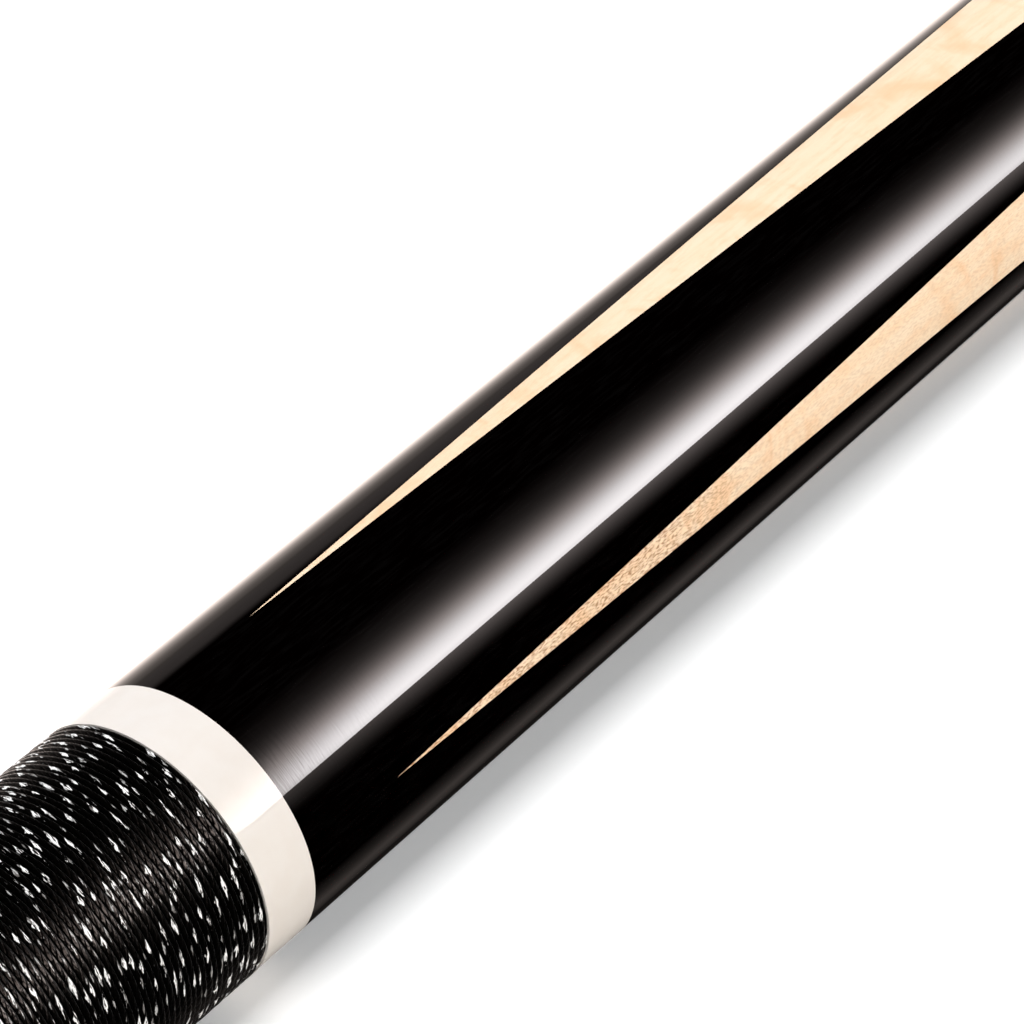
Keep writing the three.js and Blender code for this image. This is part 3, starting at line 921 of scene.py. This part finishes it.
core_axis = fins.row([axis_point])[0]
prong_axis = prongs.row([axis_point])[0]
full_row = fins.ring(on_butt(ring_angles, POINTS_END))
valley_turns = [PRONG_TURN + math.pi / 4 + QUARTER * k for k in range(4)]
fin_tips = fins.row(on_butt(valley_turns, VALLEYS_START))
half_strips = SPLICE_STRIPS // 2
corner_lines = []
for k in range(4):
    turn = PRONG_TURN + QUARTER * k
    shift = k * SPLICE_STRIPS
    before = [tips_row[(shift + j) % ALL_STRIPS] for j in range(SPLICE_STRIPS + 1)]
    before_corner = prong_axis
    normals_before = [outward(a) for a in fan(turn, math.pi / 4)]
    fin_corner = [core_axis]
    for x in splice_stations[1:]:
        depth = corner_slope * (x - VALLEYS_START)
        place_of_corner = (x, depth * math.cos(turn), depth * math.sin(turn))
        angles = fan(turn, math.pi / 4 - valley_half_angle(x))
        if x == splice_stations[-1]:
            point = prongs.row([place_of_corner])[0]
            now, corner = [point] * (SPLICE_STRIPS + 1), point
            fin_corner.append(full_row[(shift + half_strips) % ALL_STRIPS])
        else:
            now = prongs.row(on_butt(angles, x))
            corner = prongs.row([place_of_corner])[0]
            fin_corner.append(fins.row([place_of_corner])[0])
        normals_now = [outward(a) for a in angles]
        prongs.band(before, now, normals_before, normals_now)
        for side, at in ((1, -1), (-1, 0)):
            rows = ([before[at], before_corner], [now[at], corner])
            prongs.band(*(row[::side] for row in rows))
        before, before_corner, normals_before = now, corner, normals_now
    corner_lines.append(fin_corner)

for k, turn in enumerate(valley_turns):
    shift = k * SPLICE_STRIPS + half_strips
    before = [fin_tips[k]] * (SPLICE_STRIPS + 1)
    normals_before = [outward(turn)] * (SPLICE_STRIPS + 1)
    for step, x in enumerate(splice_stations[1:], 1):
        angles = fan(turn, valley_half_angle(x))
        if x == splice_stations[-1]:
            now = [full_row[(shift + j) % ALL_STRIPS] for j in range(SPLICE_STRIPS + 1)]
        else:
            now = fins.row(on_butt(angles, x))
        normals_now = [outward(a) for a in angles]
        fins.band(before, now, normals_before, normals_now)
        for side, at, line in ((1, 0, corner_lines[k]), (-1, -1, corner_lines[(k + 1) % 4])):
            rows = ([line[step - 1], before[at]], [line[step], now[at]])
            fins.band(*(row[::side] for row in rows))
        before, normals_before = now, normals_now

tenon_radius = JOINT_TENON * INSIDE_FACETS
tenon_end = JOINT_FACE - RUNNING_GAP
pin_floor = tenon_end - PIN_SOCKET
ahead = [(1.0, 0.0, 0.0)] * len(closed_angles)
radial = [(0.0, math.cos(a), math.sin(a)) for a in closed_angles]
row = full_row
for x, r, facing in (
    (forearm_end, butt_radius(forearm_end), leaning), (forearm_end, tenon_radius, ahead),
    (tenon_end, tenon_radius, radial), (tenon_end, SCREW_BORE, ahead),
    (pin_floor, SCREW_BORE, inward), (pin_floor, 0, ahead),
):
    centre = [(x, 0.0, 0.0)]
    after = fins.ring(around(ring_angles, x, r)) if r else fins.row(centre) * len(closed_angles)
    fins.band(row, after, facing, facing)
    row = after

place(prongs.piece("forearm_black_prongs"), "butt", "black_gloss", black_lacquer, "forearm_prongs")
place(fins.piece("forearm_maple"), "butt", "maple_gloss", coated_maple, "forearm_core")

# Joint, shaft and tip

COLLAR_EDGE = (0.25,)
sleeve("joint_collar", BLACK_COLLAR, "butt", butt_radius, JOINT_TENON, front_edge=COLLAR_EDGE)

PIN_RADIUS = 4.76 * INSIDE_FACETS
NOSE_RADIUS = 3.6
NOSE_LENGTH = 6.0
NOSE_EDGE = 0.9
start, end = ends("joint_pin")
thread_start, thread_end = JOINT_FACE + NOSE_EDGE, end - NOSE_LENGTH - NOSE_EDGE
place(turned("joint_pin_threaded", [
    (start, 0), (start, PIN_RADIUS), (thread_start, PIN_RADIUS),
    *threaded_side(thread_start, thread_end, JOINT_PITCH, PIN_RADIUS),
    (thread_end, PIN_RADIUS), (end - NOSE_LENGTH, NOSE_RADIUS), (end - NOSE_EDGE, NOSE_RADIUS),
    (end - 0.25, NOSE_RADIUS - 0.6), (end, NOSE_RADIUS - 1.3), (end, 0),
], screw_cut(thread_start, thread_end + 0.8, JOINT_PITCH, PIN_THREAD_DEPTH)),
    "butt", "steel", steel, "joint_pin")

sleeve("shaft_collar", BLACK_COLLAR, "shaft", shaft_radius, JOINT_TENON, rear_edge=COLLAR_EDGE)
sleeve("shaft_trim_ring", WHITE_RING, "shaft", shaft_radius, JOINT_TENON)

insert(
    "shaft_insert", "insert", bore=5.06, lead=0.6, opening=0.5, pitch=JOINT_PITCH, depth=0.6
)

TAPER_POINTS = 60
FERRULE_TENON = 4.2
shaft_start, shaft_end = ends("shaft")
shaft_bore = reach("shaft_insert") + RUNNING_GAP
taper = [
    SHAFT_WOOD_START + (TAPER_END - SHAFT_WOOD_START) * step / TAPER_POINTS
    for step in range(1, TAPER_POINTS)
]
insert_room = ends("shaft_insert")[1] + RUNNING_GAP
place(turned("shaft_maple_burnished", [
    (shaft_start, shaft_bore), (shaft_start, tenon_radius), (SHAFT_WOOD_START, tenon_radius),
    (SHAFT_WOOD_START, shaft_radius(SHAFT_WOOD_START)), *((x, shaft_radius(x), 0) for x in taper),
    (TAPER_END, FERRULE_RADIUS, 0), (FERRULE_START, FERRULE_RADIUS),
    (FERRULE_START, FERRULE_TENON * INSIDE_FACETS), (shaft_end, FERRULE_TENON * INSIDE_FACETS),
    (shaft_end, 0), (insert_room, 0), (insert_room, shaft_bore),
]), "shaft", "shaft_maple", satin_maple, "shaft")

start, end = ends("ferrule")
ferrule_bore = FERRULE_TENON + GLUE_LINE
place(turned("ferrule_satin", [
    (start, FERRULE_RADIUS, 0.05), (end, FERRULE_RADIUS, 0.08), (end, 0),
    (shaft_end + GLUE_LINE, 0), (shaft_end + GLUE_LINE, ferrule_bore), (start, ferrule_bore),
]), "shaft", "ferrule_white", ferrule_plastic, "ferrule")

start, end = ends("tip_pad")
place(turned("tip_pad_fibre", [
    (start, 0), (start, FERRULE_RADIUS, 0.05), (end, FERRULE_RADIUS, 0.05), (end, 0),
]), "shaft", "fibre", fibre, "tip_pad")

TIP_SIDE = 3.7
TIP_BULGE = 0.12
CROWN_RADIUS = 10.6
CROWN_STEPS = 9
start, end = ends("tip")
tip_radius = reach("tip") * INSIDE_FACETS - TIP_BULGE
crown = []
for step in range(1, CROWN_STEPS):
    angle = math.asin(tip_radius / CROWN_RADIUS) * (1 - step / CROWN_STEPS)
    crown.append((end - CROWN_RADIUS * (1 - math.cos(angle)), CROWN_RADIUS * math.sin(angle), 0))
bulge = [
    (start + TIP_SIDE * way, tip_radius + TIP_BULGE * share, 0)
    for way, share in ((0.25, 0.75), (0.5, 1.0), (0.75, 0.75))
]
place(turned("leather_tip", [
    (start, 0), (start, tip_radius, 0.06), *bulge, (start + TIP_SIDE, tip_radius, 0.35), *crown,
    (end, 0),
]), "shaft", "leather", leather, "tip")

for node, wear in (("weight_bolt", steel), ("handle_screw", steel), ("handle_core", bare_maple)):
    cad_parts[node].material_slots[0].material = wear

# Studio
# The cue lies on its cap's edge and its tip, so the floor meets both.

CAP_LOW = (CAP_START + CAP_EDGE, -CAP_RADIUS)
TIP_LOW = (ends("tip")[0] + TIP_SIDE / 2, -tip_radius - TIP_BULGE)
rise = (TIP_LOW[1] - CAP_LOW[1]) / (TIP_LOW[0] - CAP_LOW[0])
middle = (CAP_LOW[0] + TIP_LOW[0]) / 2
WHITE = (1.0, 1.0, 1.0)


def staged(name, half_length, near, far, height, surface):
    """A flat sheet of the studio, lying parallel to the floor from near to far on the y axis."""
    corners = (
        (-half_length, near, height), (half_length, near, height),
        (half_length, far, height), (-half_length, far, height),
    )
    mesh = bpy.data.meshes.new(name)
    mesh.from_pydata([[value * MM for value in corner] for corner in corners], [], [[0, 1, 2, 3]])
    mesh.materials.append(surface)
    made = shown(name, mesh)
    made.rotation_euler.y = -math.atan(rise)
    made.location = (middle * MM, 0, (CAP_LOW[1] + rise * (middle - CAP_LOW[0])) * MM)
    return made


def seen_rays(tree):
    """1 for rays from the camera and for those that gloss or glass sends on, and 0 for the rest."""
    path = add(tree, "ShaderNodeLightPath").outputs
    straight = larger(path["Is Camera Ray"], path["Is Glossy Ray"])
    return larger(straight, path["Is Transmission Ray"])


# To the camera and to reflections the floor glows, faintly by the cue and fully away from it.
FLOOR_REACH = 40000
FLOOR_GLOW = 0.31
GLOW_FROM = 120
GLOW_FULL = 600
paper, tree, shader = finish("white_paper_floor", {
    "Base Color": tint("#fafafa"), "Roughness": 1.0, "Specular IOR Level": 0.0,
    "Emission Color": (0.95, 0.975, 1.0, 1.0),
})
away = outside(vector("SUBTRACT", vector("ABSOLUTE", in_mm(tree)), (middle, 0.0, 0.0)))
lifted = between(away, GLOW_FROM, GLOW_FULL, FLOOR_GLOW, 1.0)
feed(shader, "Emission Strength", times(seen_rays(tree), lifted))
staged("floor", FLOOR_REACH, -FLOOR_REACH, FLOOR_REACH, 0, paper)


def only_reflected(made):
    """Leaves a sheet to be met by reflections alone."""
    made.visible_camera = made.visible_diffuse = False
    made.visible_transmission = made.visible_shadow = False


def blank(name):
    """A material with no nodes yet, and its tree."""
    made = bpy.data.materials.new(name)
    made.use_nodes = True
    made.node_tree.nodes.clear()
    return made, made.node_tree


def shine(tree, colour, strength):
    """Makes a blank material a light of this colour and strength."""
    glow = add(tree, "ShaderNodeEmission", {"Color": colour, "Strength": strength})
    add(tree, "ShaderNodeOutputMaterial", {"Surface": glow.outputs[0]})


# Two graded cards lie on the floor for the reflections alone. The front one keeps the lacquer's
# lower side black, with a dim line near the floor, and the rear one dims its upper edge.
CARD_LIFT = 0.25
CARD_STATION = 490
CARD_REACH = 10000
CARD_COLOUR = (1.0, 0.86, 0.79, 1.0)


def graded_card(name, near, far, stops):
    """A card whose light follows pairs of a distance from the axis and a strength. Its lines close
    in on the axis as the butt does."""
    made, tree = blank(name)
    spot = split(in_mm(tree))
    aside = minus(spot["Y"], times(plus(spot["X"], middle - CARD_STATION), BUTT_SLOPE))
    light = stops[0][1]
    for (y, low), (y_next, high) in zip(stops, stops[1:]):
        light = plus(light, between(aside, y, y_next, 0, high - low, smooth=False))
    shine(tree, CARD_COLOUR, light)
    only_reflected(staged(name, CARD_REACH, near, far, CARD_LIFT, made))


graded_card("front_card", -9, -1500, [
    (-11.2, 0.02), (-12.5, 0.1), (-14.2, 0.2), (-17.3, 0.085), (-21.3, 0),
])
graded_card("rear_card", 24, 1500, [
    (40, 1.9), (50, 1.35), (63, 0.95), (90, 0.6), (124, 0.44), (330, 0.25),
])

# The softbox is a long curved screen over the cue, lined in black, with one lit stretch. Its light
# grows towards a hard lower edge, and a little spills past it. Over the handle stands a dimmer one.
# Angles round the screen are in degrees, from its foot on the rear side.
SCREEN_RADIUS = 1300
SCREEN_REACH = 6000
SCREEN_START = -1
SCREEN_END = 181
SCREEN_STEPS = 90
GLOW_START = 78
GLOW_PEAK = 151
GLOW_EDGE = 153.3
EDGE_SOFTNESS = 2
EDGE_SHARE = 0.86
PEAK_LIGHT = 20.5
GLOW_GROWTH = 5.6
FAINT_START = 88
FAINT_END = 118
FAINT_LIGHT = 0.25
SPILL_END = 172
SPILL_LIGHT = 2.1
SPILL_GROWTH = 2.0
LOW_END = 20
LOW_FULL = 11
LOW_LIGHT = 0.25
DIM_COLOUR = (1.0, 0.86, 0.82, 1.0)
BRIGHT_COLOUR = (1.0, 0.955, 0.96, 1.0)

# The lit stretch begins at its foot, with a rounded corner. A change along it is given by where it
# starts and ends past the foot and its shares of the light there.
BOX_FOOT = 1212
FOOT_CORNER = (6.0, 10.0)
FOOT_RISE = (12, 38, 0.42, 0.82)
SECOND_RISE = (38, 74, 0, 0.2)
FAR_FALL = (228, 438, 1, 0.78)
SPILL_RISE = (18, 138, 0.4, 1)
HANDLE_BOX_END = 1190
HANDLE_SHARE = 0.62
HANDLE_EDGE = (143, 150)

screen, tree = blank("softbox_screen")
spot = split(add(tree, "ShaderNodeTexCoord").outputs["Object"])
angle = times(sums("ARCTAN2", spot["Z"], spot["Y"]), 180 / math.pi)
ahead = times(spot["X"], 1 / MM)


def past_foot(start, end, low, high):
    return between(ahead, BOX_FOOT + start, BOX_FOOT + end, low, high)


lit = times(power(between(angle, GLOW_START, GLOW_PEAK), GLOW_GROWTH), PEAK_LIGHT)
lit = times(lit, between(angle, GLOW_PEAK - EDGE_SOFTNESS, GLOW_EDGE, 1, EDGE_SHARE))
lit = plus(lit, between(angle, FAINT_START, FAINT_END, 0, FAINT_LIGHT))
corner = add(tree, "ShaderNodeCombineXYZ", {
    "X": minus(1.0, over(minus(ahead, BOX_FOOT), FOOT_CORNER[0])),
    "Y": minus(1.0, over(minus(GLOW_EDGE, angle), FOOT_CORNER[1])),
}).outputs[0]
in_box = sums("LESS_THAN", outside(corner), 1.0)
near_foot = plus(past_foot(*FOOT_RISE), past_foot(*SECOND_RISE))
over_forearm = times(in_box, times(near_foot, past_foot(*FAR_FALL)))
on_handle = sums("LESS_THAN", ahead, HANDLE_BOX_END)
over_handle = times(on_handle, between(angle, *HANDLE_EDGE, HANDLE_SHARE, 0))
lit = times(lit, plus(over_forearm, over_handle))
spill = power(between(angle, SPILL_END, GLOW_EDGE, smooth=False), SPILL_GROWTH)
spill = times(times(spill, SPILL_LIGHT), sums("GREATER_THAN", angle, GLOW_EDGE))
spill = times(times(spill, past_foot(*SPILL_RISE)), minus(1.0, on_handle))
low = times(
    between(angle, LOW_END, LOW_FULL, 0, LOW_LIGHT), sums("GREATER_THAN", angle, -GLOW_START)
)
strength = plus(plus(lit, spill), low)
warmth = blend(between(strength, 0, 0.8 * PEAK_LIGHT), DIM_COLOUR, BRIGHT_COLOUR)
shine(tree, warmth, strength)
arch = Shell()
bends = [
    math.radians(SCREEN_START + (SCREEN_END - SCREEN_START) * step / SCREEN_STEPS)
    for step in range(SCREEN_STEPS + 1)
]
arch.band(*(arch.row(around(bends, x, SCREEN_RADIUS)) for x in (-SCREEN_REACH, SCREEN_REACH)))
softbox = arch.piece("softbox_screen")
softbox.data.materials.append(screen)
only_reflected(softbox)

CUE_MIDDLE = 740
LAMP_LENGTH = 4000


def lamp(name, y, z, width, power, colour=WHITE):
    """A long soft lamp beside the cue, aimed at its axis. Reflections don't show it."""
    light = bpy.data.lights.new(name, "AREA")
    light.shape = "RECTANGLE"
    light.size, light.size_y = LAMP_LENGTH * MM, width * MM
    light.energy = power
    light.color = colour
    made = shown(name, light)
    made.location = (CUE_MIDDLE * MM, y * MM, z * MM)
    made.rotation_euler.x = -math.atan2(y, z)
    made.visible_glossy = False


lamp("overhead_lamp", -169, 1300, 522, 25.8)
lamp("front_lamp", -1750, 230, 440, 20.2, (1.0, 0.92, 0.8))
lamp("rear_lamp", 1330, 1090, 600, 28.5)

# The room is white to the camera and dim to everything that it lights.
DIM_ROOM = 0.1
world = bpy.data.worlds.new("studio_room")
bpy.context.scene.world = world
world.use_nodes = True
room = world.node_tree.nodes["Background"]
room.inputs["Color"].default_value = (*WHITE, 1.0)
feed(room, "Strength", larger(seen_rays(world.node_tree), DIM_ROOM))

# Camera, looking down along the butt from above the handle. EYE is measured from the middle of the
# front ring's front face.
RIGHT = (0.635139, -0.772398, 0.0)
UP = (0.534700, 0.439682, 0.721648)
BACK = (-0.557399, -0.458347, 0.692260)
EYE = (-287.494, -270.155, 412.442)
LENS = 241.71
SENSOR = 36.0
NEAREST_SEEN, FARTHEST_SEEN = 0.01, 200
camera = shown("camera", bpy.data.cameras.new("camera"))
camera.data.lens = LENS
camera.data.sensor_width = SENSOR
camera.data.clip_start, camera.data.clip_end = NEAREST_SEEN, FARTHEST_SEEN
view = Matrix((RIGHT, UP, BACK)).transposed().to_4x4()
view.translation = ((ends("front_ring")[1] + EYE[0]) * MM, EYE[1] * MM, EYE[2] * MM)
camera.matrix_world = view
bpy.context.scene.camera = camera
bpy.context.scene.view_settings.view_transform = "Standard"
